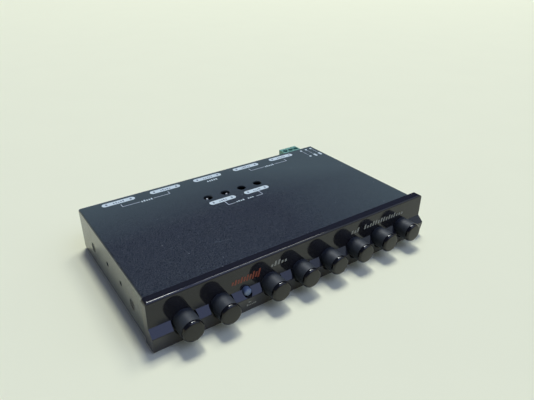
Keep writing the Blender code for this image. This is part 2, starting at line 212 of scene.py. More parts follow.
def merge(name, pieces):
    bm = bmesh.new()
    for piece in pieces:
        bm.from_mesh(piece.data)
        bpy.data.objects.remove(piece, do_unlink=True)
    return new_object(name, bm)


def boolean(obj, tool, operation="DIFFERENCE"):
    modifier = obj.modifiers.new(operation.title(), "BOOLEAN")
    modifier.operation = operation
    modifier.solver = "EXACT"
    modifier.object = tool


def bake(obj):
    """Applies every modifier and removes the Boolean tools."""
    tools = [m.object for m in obj.modifiers if m.type == "BOOLEAN"]
    bpy.context.view_layer.update()
    graph = bpy.context.evaluated_depsgraph_get()
    mesh = bpy.data.meshes.new_from_object(obj.evaluated_get(graph))
    obj.modifiers.clear()
    obj.data = mesh
    for tool in tools:
        bpy.data.objects.remove(tool, do_unlink=True)
    return obj


def soften(obj, width, segments=2, angle=35):
    """Rounds the sharp edges, which catch light as moulded and pressed edges do."""
    modifier = obj.modifiers.new("Edge", "BEVEL")
    modifier.width = width * MM
    modifier.segments = segments
    modifier.limit_method = "ANGLE"
    modifier.angle_limit = math.radians(angle)
    obj["softened"] = True
    return obj


def dress(obj, mat, body=CASE, replaces=(), smooth_angle=40):
    """Finishes a piece: its material and shading, the body it rides on and the nodes it replaces."""
    if obj.modifiers:
        bake(obj)
    obj.data.materials.clear()
    obj.data.materials.append(mat)
    obj.data.polygons.foreach_set("material_index", [0] * len(obj.data.polygons))
    obj.data.shade_smooth()
    obj.data.set_sharp_from_angle(angle=math.radians(smooth_angle))
    if "softened" in obj:
        weighted = obj.modifiers.new("Normals", "WEIGHTED_NORMAL")
        weighted.keep_sharp = True
        weighted.weight = 100
        weighted.thresh = 0.01
    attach(obj, body)
    if replaces:
        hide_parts(*replaces)
    return obj


# ---------------------------------------------------------------- materials


class Look:
    """A Principled material with procedural colour, roughness and bump."""

    def __init__(self, name, color, roughness, metallic=0.0):
        self.mat = bpy.data.materials.new(name)
        self.mat.use_nodes = True
        self.nodes = self.mat.node_tree.nodes
        self.links = self.mat.node_tree.links
        self.shader = self.nodes["Principled BSDF"]
        self.shader.inputs["Base Color"].default_value = (*color, 1)
        self.shader.inputs["Roughness"].default_value = roughness
        self.shader.inputs["Metallic"].default_value = metallic
        self.coord = self.nodes.new("ShaderNodeTexCoord").outputs["Object"]
        self.color = color
        self.height = None

    def set(self, **values):
        for name, value in values.items():
            self.shader.inputs[name.replace("_", " ")].default_value = value
        return self

    def noise(self, size, detail=3.0, rough=0.5, stretch=None):
        """Noise whose features are about size millimetres across."""
        node = self.nodes.new("ShaderNodeTexNoise")
        node.inputs["Scale"].default_value = 1 / (size * MM)
        node.inputs["Detail"].default_value = detail
        node.inputs["Roughness"].default_value = rough
        coord = self.coord
        if stretch:
            mapping = self.nodes.new("ShaderNodeMapping")
            mapping.inputs["Scale"].default_value = stretch
            self.links.new(self.coord, mapping.inputs["Vector"])
            coord = mapping.outputs["Vector"]
        self.links.new(coord, node.inputs["Vector"])
        return node.outputs["Fac"]

    def ramp(self, value, low, high, start=0.0, end=1.0):
        node = self.nodes.new("ShaderNodeMapRange")
        node.inputs["From Min"].default_value = low
        node.inputs["From Max"].default_value = high
        node.inputs["To Min"].default_value = start
        node.inputs["To Max"].default_value = end
        self.links.new(value, node.inputs["Value"])
        return node.outputs["Result"]

    def tint(self, value, other):
        """Mixes the colour towards another where value is 1."""
        node = self.nodes.new("ShaderNodeMix")
        node.data_type = "RGBA"
        socket = self.shader.inputs["Base Color"]
        if socket.is_linked:
            self.links.new(socket.links[0].from_socket, node.inputs["A"])
        else:
            node.inputs["A"].default_value = (*self.color, 1)
        node.inputs["B"].default_value = (*other, 1)
        self.links.new(value, node.inputs["Factor"])
        self.links.new(node.outputs["Result"], socket)
        return self

    def gloss(self, value, low, high):
        """Roughness from low to high as value goes from 0 to 1."""
        self.links.new(self.ramp(value, 0.0, 1.0, low, high), self.shader.inputs["Roughness"])
        return self

    def bump(self, value, depth, strength=1.0):
        """Adds relief of about depth millimetres."""
        node = self.nodes.new("ShaderNodeBump")
        node.inputs["Distance"].default_value = depth * MM
        node.inputs["Strength"].default_value = strength
        self.links.new(value, node.inputs["Height"])
        if self.height:
            self.links.new(self.height, node.inputs["Normal"])
        self.height = node.outputs["Normal"]
        self.links.new(self.height, self.shader.inputs["Normal"])
        return self

    def along(self, axis, start, end):
        """0 to 1 from start to end, in millimetres along an axis."""
        node = self.nodes.new("ShaderNodeSeparateXYZ")
        self.links.new(self.coord, node.inputs[0])
        return self.ramp(node.outputs[axis], start * MM, end * MM)

    def blend(self, first, second, first_share, second_share):
        """Weighted sum of two masks, held under 1."""
        node = self.nodes.new("ShaderNodeMath")
        node.operation = "MULTIPLY_ADD"
        node.use_clamp = True
        self.links.new(first, node.inputs[0])
        node.inputs[1].default_value = first_share
        self.links.new(self.ramp(second, 0.0, 1.0, 0.0, second_share), node.inputs[2])
        return node.outputs["Value"]

    def facing_side(self):
        """Mask of the faces that look left or right."""
        node = self.nodes.new("ShaderNodeSeparateXYZ")
        self.links.new(self.nodes.new("ShaderNodeTexCoord").outputs["Normal"], node.inputs[0])
        size = self.nodes.new("ShaderNodeMath")
        size.operation = "ABSOLUTE"
        self.links.new(node.outputs["X"], size.inputs[0])
        return self.ramp(size.outputs["Value"], 0.9, 0.99)

    def wear(self, amount, size=0.25):
        """Mask that is bright along worn convex edges."""
        geometry = self.nodes.new("ShaderNodeNewGeometry")
        edge = self.ramp(geometry.outputs["Pointiness"], 0.52, 0.60, 0.0, amount)
        patches = self.ramp(self.noise(size, 4.0), 0.45, 0.62)
        node = self.nodes.new("ShaderNodeMath")
        node.operation = "MULTIPLY"
        self.links.new(edge, node.inputs[0])
        self.links.new(patches, node.inputs[1])
        return node.outputs["Value"]


def powder_coat(name, color, rough):
    look = Look(name, color, rough)
    grain = look.noise(0.45, 2.0)
    look.tint(look.ramp(look.noise(28, 3.0), 0.4, 0.7, 0.0, 0.25), [c * 1.5 for c in color])
    look.tint(look.ramp(grain, 0.55, 0.72, 0.0, 0.35), [c * 1.9 + 0.004 for c in color])
    look.gloss(look.ramp(look.noise(9, 4.0), 0.35, 0.7), rough - 0.02, rough + 0.03)
    look.bump(grain, 0.012, 0.5)
    look.tint(look.wear(0.35), (0.22, 0.24, 0.26))
    return look


def cover_look():
    """Powder coat with painted reflection, a pale tint that lightens it to the rear and right and on its sides,
    rubbed marks near the front left and specks of dust.
    """
    look = powder_coat("cover_coat", (0.005, 0.008, 0.015), 0.17).set(Specular_IOR_Level=0.36)
    # Painted reflection: a pale tint, mottled by cloud noise, lightens the coat towards the rear and the right,
    # where it reflects more light.
    painted_reflection = look.blend(look.along(1, FRONT + 45, REAR), look.along(0, 5, CASE_RIGHT), 0.95, 0.85)
    cloud = look.ramp(look.noise(2.2, 3.0), 0.3, 0.7)
    look.tint(look.blend(painted_reflection, cloud, 0.95, 0.05), (0.072, 0.096, 0.098))
    # Painted reflection: the faces that look left or right are tinted lighter, as if they reflected the lit
    # floor.
    look.tint(look.facing_side(), (0.118, 0.131, 0.126))
    scuff = look.ramp(look.noise(5, 6.0, 0.7, stretch=(0.35, 1.0, 1.0)), 0.60, 0.70)
    place = look.nodes.new("ShaderNodeVectorMath")
    place.operation = "DISTANCE"
    place.inputs[1].default_value = Vector((CASE_LEFT + 38, FRONT + 32, CASE_TOP)) * MM
    look.links.new(look.coord, place.inputs[0])
    near = look.ramp(place.outputs["Value"], 0.012, 0.035, 1.0, 0.0)
    mask = look.nodes.new("ShaderNodeMath")
    mask.operation = "MULTIPLY"
    look.links.new(scuff, mask.inputs[0])
    look.links.new(near, mask.inputs[1])
    look.tint(look.ramp(mask.outputs["Value"], 0.0, 1.0, 0.0, 0.55), (0.10, 0.12, 0.14))
    dust = look.nodes.new("ShaderNodeTexVoronoi")
    dust.inputs["Scale"].default_value = 1 / (7 * MM)
    look.links.new(look.coord, dust.inputs["Vector"])
    look.tint(look.ramp(dust.outputs["Distance"], 0.025, 0.045, 0.5, 0.0), (0.5, 0.52, 0.55))
    return look.mat


def gloss_black(name, color=(0.012, 0.012, 0.016), rough=0.08, painted_reflection=0.0):
    """Polished black plastic. The last argument is the strength of a painted reflection below the fascia's ledge:
    a pale tint that lightens the lower face as if it reflected lit floor.
    """
    look = Look(name, color, rough).set(Specular_IOR_Level=0.43)
    look.gloss(look.ramp(look.noise(6, 5.0, 0.6), 0.45, 0.75), rough, rough + 0.09)
    look.tint(look.ramp(look.noise(0.5, 2.0), 0.66, 0.75, 0.0, 0.12), (0.10, 0.11, 0.12))
    if painted_reflection:
        # Painted reflection: the face below the ledge is tinted lighter.
        below_ledge = look.along(2, LEDGE_EDGE_Z + 0.3, LEDGE_EDGE_Z - 0.7)
        look.tint(look.ramp(below_ledge, 0.0, 1.0, 0.0, painted_reflection), (0.085, 0.083, 0.078))
    look.bump(look.noise(3.5, 1.0), 0.012, 0.25)
    return look.mat


def moulded(name, color, rough, grain=0.3, depth=0.02, spread=0.06, worn=0.25):
    look = Look(name, color, rough)
    look.tint(look.ramp(look.noise(4, 4.0), 0.4, 0.7, 0.0, 0.3), [c * 1.35 + 0.002 for c in color])
    look.gloss(look.ramp(look.noise(1.5, 3.0), 0.3, 0.7), rough - spread, rough + spread)
    look.bump(look.noise(grain, 2.0), depth, 0.5)
    if worn:
        look.tint(look.wear(worn), [min(1.0, c * 2.2 + 0.05) for c in color])
    return look.mat


def metal(name, color, rough, brushed=None, grain=0.25):
    look = Look(name, color, rough, 1.0)
    marks = look.noise(grain, 3.0, 0.6, stretch=brushed)
    look.tint(look.ramp(marks, 0.35, 0.7, 0.0, 0.35), [c * 0.6 for c in color])
    look.gloss(look.ramp(look.noise(1.2, 4.0), 0.3, 0.75), rough - 0.06, rough + 0.12)
    look.bump(marks, 0.008, 0.4)
    return look.mat


def ink(name, color, rough=0.5):
    look = Look(name, color, rough)
    look.tint(look.ramp(look.noise(0.35, 3.0), 0.5, 0.75, 0.0, 0.45), [c * 0.75 for c in color])
    look.gloss(look.ramp(look.noise(0.8, 2.0), 0.3, 0.7), rough - 0.08, rough + 0.08)
    look.bump(look.noise(0.3, 2.0), 0.01, 0.4)
    return look.mat


def board_look(name):
    look = Look(name, (0.012, 0.10, 0.045), 0.35)
    tracks = look.nodes.new("ShaderNodeTexBrick")
    tracks.inputs["Scale"].default_value = 1 / (5 * MM)
    tracks.inputs["Mortar Size"].default_value = 0.04
    look.links.new(look.coord, tracks.inputs["Vector"])
    look.tint(look.ramp(tracks.outputs["Fac"], 0.0, 1.0, 0.0, 0.6), (0.03, 0.20, 0.09))
    look.bump(tracks.outputs["Fac"], 0.03, 0.4)
    look.gloss(look.noise(2.0), 0.28, 0.42)
    return look.mat


MATS = {
    "cover": cover_look(),
    "tray": powder_coat("tray_coat", (0.040, 0.043, 0.046), 0.45).mat,
    "fascia": gloss_black("fascia_gloss", painted_reflection=0.5),
    "knob": moulded("knob_side", (0.024, 0.029, 0.036), 0.52, 0.3, 0.02),
    "knob_face": gloss_black("knob_face_gloss", (0.005, 0.005, 0.006), 0.10),
    "button": moulded("button_cap", (0.15, 0.20, 0.30), 0.20, 0.5, 0.008, 0.05, 0.0),
    "ink_white": ink("ink_white", (0.58, 0.67, 0.69)),
    "ink_dim": ink("ink_dim", (0.42, 0.47, 0.52)),
    "ink_front": ink("ink_front", (0.26, 0.27, 0.25)),
    "ink_dark": ink("ink_dark", (0.13, 0.16, 0.20)),
    "ink_orange": ink("ink_orange", (0.20, 0.042, 0.022)),
    "screw_black": metal("screw_black", (0.09, 0.09, 0.10), 0.38),
    "steel": metal("screw_steel", (0.62, 0.61, 0.58), 0.30),
    "plating": metal("sleeve_plating", (0.74, 0.73, 0.69), 0.22),
    "shaft": metal("shaft_metal", (0.60, 0.60, 0.62), 0.28, (1.0, 0.1, 1.0)),
    "copper": metal("coil_copper", (0.60, 0.26, 0.10), 0.35, (1.0, 1.0, 0.2), 0.5),
    "rotor": moulded("trimmer_dark", (0.02, 0.02, 0.022), 0.38, 0.3, 0.01, 0.06, 0.0),
    "pointer": moulded("trimmer_pointer", (0.82, 0.82, 0.80), 0.30, 0.3, 0.01, 0.06, 0.0),
    "trimmer": moulded("trimmer_case", (0.03, 0.07, 0.26), 0.38),
    "pot": moulded("pot_case", (0.03, 0.06, 0.16), 0.42),
    "black": moulded("black_moulding", (0.018, 0.018, 0.020), 0.42),
    "can": moulded("can_sleeve", (0.015, 0.025, 0.06), 0.30),
    "red": moulded("insert_red", (0.42, 0.018, 0.015), 0.35, 0.4, 0.01, 0.05, 0.0),
    "white": moulded("insert_white", (0.74, 0.74, 0.70), 0.35, 0.4, 0.01, 0.05, 0.0),
    "green": moulded("plug_green", (0.130, 0.320, 0.260), 0.42, 0.3, 0.015),
    "header": moulded("header_green", (0.085, 0.250, 0.190), 0.42, 0.3, 0.015),
    "board": board_look("board_fr4"),
}

NODE_LOOKS = {
    "chassis_tray": "tray",
    "main_board": "board",
    "pot_board": "board",
    "board_link": "black",
    "select_switch": "black",
    "filter_capacitor": "can",
    "power_inductor": "copper",
    "terminal_header": "header",
}
for prefix, count, key in (
    ("fascia_screw", 2, "steel"),
    ("board_screw", 2, "steel"),
    ("pot_body", 8, "pot"),
    ("pot_shaft", 8, "shaft"),
    ("trimmer_body", 4, "trimmer"),
):
    for n in range(1, count + 1):
        NODE_LOOKS[f"{prefix}_{n}"] = key
for node, key in NODE_LOOKS.items():
    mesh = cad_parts[node].data
    mesh.materials.clear()
    mesh.materials.append(MATS[key])

# ---------------------------------------------------------------- case


def screw_seats():
    """Cutters for the dished screw holes in both sides of the cover."""
    tools = []
    for side, inward in ((CASE_LEFT, 1), (CASE_RIGHT, -1)):
        for depth, z in SIDE_SCREWS:
            profile = (
                (0, side - inward),
                (SCREW_SEAT_R, side - inward),
                (SCREW_SEAT_R, side),
                (SCREW_HOLE_R, side + inward * 0.9),
                (SCREW_HOLE_R, side + inward * 3),
                (0, side + inward * 3),
            )
            tools.append(turned("tool", profile, 48, "X", (0, FRONT + depth, z)))
    return tools


def rod(radius, start, end, segments=32, axis="Y", centre=(0, 0, 0)):
    profile = ((0, start), (radius, start), (radius, end), (0, end))
    return turned("tool", profile, segments, axis, centre)


def make_cover():
    corners = (
        (CASE_LEFT, CASE_BOTTOM),
        (CASE_LEFT + SHEET, CASE_BOTTOM),
        (CASE_LEFT + SHEET, CASE_TOP - SHEET),
        (CASE_RIGHT - SHEET, CASE_TOP - SHEET),
        (CASE_RIGHT - SHEET, CASE_BOTTOM),
        (CASE_RIGHT, CASE_BOTTOM),
        (CASE_RIGHT, CASE_TOP),
        (CASE_LEFT, CASE_TOP),
    )
    outline = rounded(corners, (0, 0, 0.3, 0.3, 0, 0, BEND_R, BEND_R), 8)
    cover = prism("cover_shell", outline, "Y", FRONT, REAR)
    tools = screw_seats()
    reach = 4
    for axis in trimmer_axes:
        tools.append(rod(TRIMMER_HOLE_R, CASE_TOP - reach, CASE_TOP + reach, 56, "Z", (axis.x, axis.y, 0)))
    for depth, z in BRACKET_HOLES:
        for side in (CASE_LEFT, CASE_RIGHT):
            tools.append(rod(BRACKET_HOLE_R, side - reach, side + reach, 32, "X", (0, FRONT + depth, z)))
    boolean(cover, merge("cover_tools", tools))
    bake(cover)
    soften(cover, 0.14, 2)
    dress(cover, MATS["cover"], CASE, ("top_cover",))


def make_cover_screws():
    """Domed heads with a cross slot, sunk in the seats of the cover."""
    arm_long, arm_short = 1.45, 0.26
    number = 0
    for side, inward in ((CASE_LEFT, 1), (CASE_RIGHT, -1)):
        for depth, z in SIDE_SCREWS:
            number += 1
            profile = (
                (0, side + inward * 0.36),
                (2.0, side + inward * 0.42),
                (2.36, side + inward * 0.56),
                (2.36, side + inward * 0.64),
                (1.5, side + inward * 1.15),
                (1.2, side + inward * 1.3),
                (1.2, side + inward * 5.2),
                (0, side + inward * 5.2),
            )
            centre = Vector((0, FRONT + depth, z))
            screw = turned(f"cover_screw_head_{number}", profile, 48, "X", centre)
            arms = []
            for half_y, half_z in ((arm_short, arm_long), (arm_long, arm_short)):
                outline = []
                for a, b in ((-1, -1), (1, -1), (1, 1), (-1, 1)):
                    outline.append((centre.y + a * half_y, centre.z + b * half_z))
                arms.append(prism("arm", outline, "X", side - inward, side + inward * 1.05))
            for arm in arms:
                boolean(screw, arm)
            bake(screw)
            soften(screw, 0.06, 2)
            dress(screw, MATS["screw_black"], CASE, (f"cover_screw_{number}",))


# ---------------------------------------------------------------- fascia


def make_fascia():
    back = FRONT - 0.3
    upper = FRONT - UPPER_DEPTH
    corners = (
        (back, 0),
        (FRONT - BOTTOM_DEPTH, 0),
        (FRONT - LEDGE_DEPTH, LEDGE_EDGE_Z),
        (upper, LEDGE_TOP_Z),
        (upper, FASCIA_TOP),
        (back, FASCIA_TOP),
    )
    profile = rounded(corners, (0, 0.8, 0.6, 0, 1.3, 0), 10)
    fascia = prism("fascia_shell", profile, "X", -FASCIA_HALF, FASCIA_HALF)
    half = FASCIA_HALF
    frame_corners = ((-half, 0), (half, 0), (half, FASCIA_TOP), (-half, FASCIA_TOP))
    outline = rounded(frame_corners, (1.2, 1.2, 2.0, 2.0), 8)
    boolean(fascia, prism("outline", outline, "Y", FRONT - 30, FRONT + 10), "INTERSECT")
    wall = 2
    inside = (CASE_LEFT + 1.1, CASE_RIGHT - 1.9)
    boolean(fascia, block("hollow", inside, (upper + wall, FRONT + 5), (wall, FASCIA_TOP - wall)))
    pockets = []
    holes = []
    for axis in knob_axes:
        centre = (axis.x, 0, axis.z)
        pockets.append(rod(KNOB_POCKET_R, FRONT - 30, upper - 0.02, 72, centre=centre))
        holes.append(rod(SHAFT_HOLE_R, FRONT - 10, FRONT, 48, centre=centre))
    holes.append(rod(BUTTON_HOLE_R, FRONT - 20, FRONT, 48, centre=(button_axis.x, 0, button_axis.z)))
    boolean(fascia, merge("pockets", pockets))
    boolean(fascia, merge("holes", holes))
    bake(fascia)
    soften(fascia, 0.22, 3, 38)
    dress(fascia, MATS["fascia"], CASE, ("fascia",))


def make_knobs():
    """A matt grip with a glossy disc on its front, whose rim is rounded."""
    tip = -KNOB_REACH
    seam = tip + 2.1
    rear = -UPPER_DEPTH - 0.6
    side = (
        (KNOB_R - 0.20, seam),
        (KNOB_R - 0.02, seam + 0.1),
        (KNOB_R, seam + 0.3),
        (KNOB_R, rear + 0.5),
        (KNOB_R - 0.10, rear + 0.2),
        (KNOB_R - 0.40, rear),
        (KNOB_BORE_R, rear),
        (KNOB_BORE_R, seam),
    )
    face = (
        (0, tip + 0.02),
        (KNOB_R - 1.50, tip),
        (KNOB_R - 1.05, tip + 0.03),
        (KNOB_R - 0.70, tip + 0.16),
        (KNOB_R - 0.40, tip + 0.42),
        (KNOB_R - 0.20, tip + 0.74),
        (KNOB_R - 0.06, tip + 1.15),
        (KNOB_R, tip + 1.6),
        (KNOB_R, tip + 1.95),
        (KNOB_R - 0.16, seam - 0.02),
        (0, seam - 0.02),
    )
    for number, axis in enumerate(knob_axes, 1):
        centre = (axis.x, FRONT, axis.z)
        body = f"knob_{number}"
        skirt = turned(f"knob_{number}_grip", side, 96, centre=centre, closed=True)
        dress(skirt, MATS["knob"], body, (f"knob_{number}",), 50)
        disc = turned(f"knob_{number}_face", face, 96, centre=centre)
        dress(disc, MATS["knob_face"], body, (), 50)


def make_button():
    """A domed cap with a flange behind the fascia and a stem to the switch."""
    tip, flange, stem_r = -8.2, -3.1, 1.2
    profile = (
        (0, tip),
        (BUTTON_R - 1.20, tip + 0.04),
        (BUTTON_R - 0.55, tip + 0.22),
        (BUTTON_R - 0.20, tip + 0.54),
        (BUTTON_R - 0.04, tip + 1.0),
        (BUTTON_R, tip + 1.5),
        (BUTTON_R, flange),
        (BUTTON_R + 0.9, flange),
        (BUTTON_R + 0.9, flange + 0.7),
        (stem_r, flange + 0.7),
        (stem_r, 5.0),
        (0, 5.0),
    )
    centre = (button_axis.x, FRONT, button_axis.z)
    cap = turned("select_button_cap", profile, 64, centre=centre)
    dress(cap, MATS["button"], "select_button", ("select_button",), 50)


# ---------------------------------------------------------------- printed marks


def outline_box(cx, cy, width, height, lean=0.0, radius=0.0):
    half_w, half_h = width / 2, height / 2
    points = [(-half_w, -half_h), (half_w, -half_h), (half_w, half_h), (-half_w, half_h)]
    points = [(x + lean * y, y) for x, y in points]
    shape = rounded(points, (radius,) * 4, 8) if radius else [Vector(p) for p in points]
    return [p + Vector((cx, cy)) for p in shape]


def top_mark(shapes, name, mat, rise=PRINT_RISE):
    pieces = [prism("mark", shape, "Z", CASE_TOP - PRINT_SINK, CASE_TOP + rise) for shape in shapes]
    dress(merge(name, pieces), mat, CASE)


def word(cx, cy, width, height, seed, lean=0.0):
    """A row of small bars of uneven height, which stands in for a printed word and spells nothing."""
    draw = random.Random(seed)
    shapes = []
    pitch = height * 0.78
    count = max(2, int(width / pitch))
    for index in range(count):
        x = cx - width / 2 + pitch * (index + 0.5)
        tall = height * draw.choice((0.55, 0.75, 1.0))
        shapes.append(outline_box(x, cy - (height - tall) / 2, pitch * 0.55, tall, lean))
    return shapes


def pill(cx, cy, width, letters, side_letter, seed):
    """A rounded label: its outline, and the dark marks on it, a row of bars between two dots."""
    outline = outline_box(cx, cy, width, PILL_HEIGHT, radius=PILL_HEIGHT / 2 - 0.01)
    marks = word(cx, cy, letters, LETTER_HEIGHT, seed)
    for side in (-1, 1):
        marks.append(outline_box(cx + side * side_letter, cy, 1.2, 1.8, radius=0.4))
    return outline, marks


def make_top_marks():
    pills = []
    dark = []
    lines = []
    xs = [centre_of(f"phono_pair_{n}").x for n in range(1, PAIRS + 1)]

    # one label in front of each pair of sockets, two brackets and three words between them
    for index, x in enumerate(xs):
        outline, marks = pill(x, FRONT + 92.4, 20.6, 7.6, 7.6, index)
        pills.append(outline)
        dark += marks
    word_y = FRONT + 85.2
    word_gap = 4.4
    words = []
    for first, second in ((xs[0], xs[1]), (xs[3], xs[4])):
        middle = (first + second) / 2
        for x, inward in ((first, 1), (second, -1)):
            lines.append(outline_box(x, FRONT + 86.9, LINE_WIDTH, 3.4))
            length = abs(middle - x) - word_gap
            lines.append(outline_box(x + inward * length / 2, word_y, length, LINE_WIDTH))
        words += word(middle, word_y, 8.0, 2.0, 11)
    words += word(xs[2] + 0.8, FRONT + 87.2, 8.4, 2.1, 12)

    # two labels in front of the trimmers, with a bracket and its words
    left_x, right_x = -14.9, 10.0
    for x, seed in ((left_x, 21), (right_x, 22)):
        outline, marks = pill(x, FRONT + 59.2, 18.2, 6.0, 6.4, seed)
        pills.append(outline)
        dark += marks
    for x, inward in ((left_x, 1), (right_x, -1)):
        lines.append(outline_box(x, FRONT + 54.6, LINE_WIDTH, 5.2))
        lines.append(outline_box(x + inward * 2.4, FRONT + 52.1, 4.8, LINE_WIDTH))
    low_word = FRONT + 52.9
    words += word(-6.1, low_word, 6.8, 2.0, 31) + word(1.9, low_word, 6.2, 2.0, 32)

    # three legends for the terminal's poles: a dot, a thin line and a block
    dots = []
    for x, length, height in ((73.6, 7.4, 1.8), (78.3, 7.0, 3.96), (82.7, 6.6, 3.96)):
        dots.append(outline_box(x, FRONT + 93.2, 1.7, 1.9, radius=0.8))
        lines.append(outline_box(x, FRONT + 92 - length / 2, 0.3, length))
        words.append(outline_box(x, FRONT + 82.0, 1.7, height, radius=0.5))
    top_mark(pills, "cover_pills", MATS["ink_white"])
    top_mark(dots + words, "cover_words", MATS["ink_white"])
    top_mark(lines, "cover_lines", MATS["ink_dim"])
    top_mark(dark, "cover_pill_marks", MATS["ink_dark"], PRINT_RISE + 0.02)


def front_mark(shapes, name, mat, face_y, slope=0.0):
    """Marks on the fascia. slope is how far the face moves along Y for each millimetre of height."""
    pieces = [prism("mark", shape, "Y", face_y + PRINT_SINK, face_y - PRINT_RISE) for shape in shapes]
    obj = merge(name, pieces)
    for vertex in obj.data.vertices:
        vertex.co.y += slope * vertex.co.z
    dress(obj, mat, CASE)


def make_front_marks():
    upper = FRONT - UPPER_DEPTH
    first_x = knob_axes[1].x + 7.5
    middle_z = 19.0
    shapes = []
    heights = (2.0, 3.0, 2.4, 3.4, 2.6, 3.6, 3.0, 4.4, 3.2, 5.0)
    for index, tall in enumerate(heights):
        x = first_x + index * 1.75
        shapes.append(outline_box(x, middle_z + (tall - 3.0) * 0.2, 1.1, tall, LEAN))
    front_mark(shapes, "fascia_orange_bars", MATS["ink_orange"], upper)
    shapes = word(knob_axes[2].x + 6.4, 20.9, 12.0, 2.8, 51, LEAN)
    front_mark(shapes, "fascia_short_ticks", MATS["ink_front"], upper)
    shapes = word(36.5, 20.6, 8.6, 2.9, 52, LEAN) + word(60.5, 20.6, 36.0, 2.9, 53, LEAN)
    front_mark(shapes, "fascia_long_ticks", MATS["ink_front"], upper)
    slope = (BOTTOM_DEPTH - LEDGE_DEPTH) / LEDGE_EDGE_Z
    shapes = word(-39.4, 6.7, 2.6, 1.2, 61) + word(-38.4, 4.6, 6.6, 1.3, 62)
    front_mark(shapes, "fascia_low_ticks", MATS["ink_front"], FRONT - BOTTOM_DEPTH, slope)


# ---------------------------------------------------------------- trimmers and rear connectors


def make_rotors():
    """Slotted black screw ends, each with a white pointer that rises towards the hole in the cover."""
    for number, axis in enumerate(trimmer_axes, 1):
        low, high = edges(f"trimmer_rotor_{number}")
        top = high.z
        flange = low.z + 3.8
        profile = (
            (0, low.z),
            (ROTOR_R, low.z),
            (ROTOR_R, flange),
            (ROTOR_FLANGE_R, flange),
            (ROTOR_FLANGE_R, flange + 1.0),
            (ROTOR_R, flange + 1.1),
            (ROTOR_R, top - 0.3),
            (ROTOR_R - 0.08, top - 0.1),
            (ROTOR_R - 0.3, top),
            (0, top),
        )
        rotor = turned(f"trimmer_{number}_stem", profile, 48, "Z", (axis.x, axis.y, 0))
        body = f"trimmer_{number}"
        across = (axis.x - 0.45, axis.x + 0.45)
        boolean(rotor, block("slot", across, (axis.y - 5, axis.y + 5), (top - 1.3, top + 3)))
        bake(rotor)
        soften(rotor, 0.07, 2)
        dress(rotor, MATS["rotor"], body, (f"trimmer_rotor_{number}",))
        spin = Matrix.Rotation(math.radians(POINTER_HEADINGS[number - 1]), 2)
        corners = ((1.05, -0.5), (2.05, -0.36), (2.05, 0.36), (1.05, 0.5))
        shape = [spin @ Vector(corner) + axis.xy for corner in corners]
        pointer = prism(f"trimmer_{number}_pointer", shape, "Z", top - 0.2, top + POINTER_RISE)
        dress(pointer, MATS["pointer"], body)


def make_sockets():
    """Pairs of phono sockets: a housing, and two plated sleeves with coloured inserts and centre contacts."""
    seat = REAR - 1.6
    foot = seat + 0.1
    tip = REAR + SOCKET_REACH
    sleeve = (
        (4.15, foot),
        (4.15, tip - 0.4),
        (4.05, tip - 0.1),
        (3.9, tip),
        (3.72, tip - 0.1),
        (3.62, tip - 0.5),
        (3.62, foot),
    )
    insert = (
        (0, foot),
        (3.5, foot),
        (3.5, tip - 1.2),
        (3.3, tip - 0.9),
        (1.9, tip - 0.9),
        (1.65, tip - 1.2),
        (1.6, REAR - 3),
        (0, REAR - 3),
    )
    ring = ((1.56, tip - 2.2), (1.56, tip - 6), (1.35, tip - 6), (1.35, tip - 2.2))
    for number in range(1, PAIRS + 1):
        name = f"phono_pair_{number}"
        low, high = edges(name)
        centre = (low + high) / 2
        housing = block(f"{name}_housing", (low.x, high.x), (low.y, seat), (low.z, high.z))
        soften(housing, 0.5, 3)
        dress(housing, MATS["black"], CASE, (name,))
        for side, key in ((-1, "white"), (1, "red")):
            at = (centre.x + side * SOCKET_HALF_PITCH, 0, SOCKET_Z)
            piece = turned(f"{name}_{key}_sleeve", sleeve, 64, centre=at, closed=True)
            dress(piece, MATS["plating"], CASE, (), 50)
            piece = turned(f"{name}_{key}_insert", insert, 64, centre=at)
            dress(piece, MATS[key], CASE, (), 50)
            piece = turned(f"{name}_{key}_contact", ring, 48, centre=at, closed=True)
            dress(piece, MATS["plating"], CASE, (), 50)


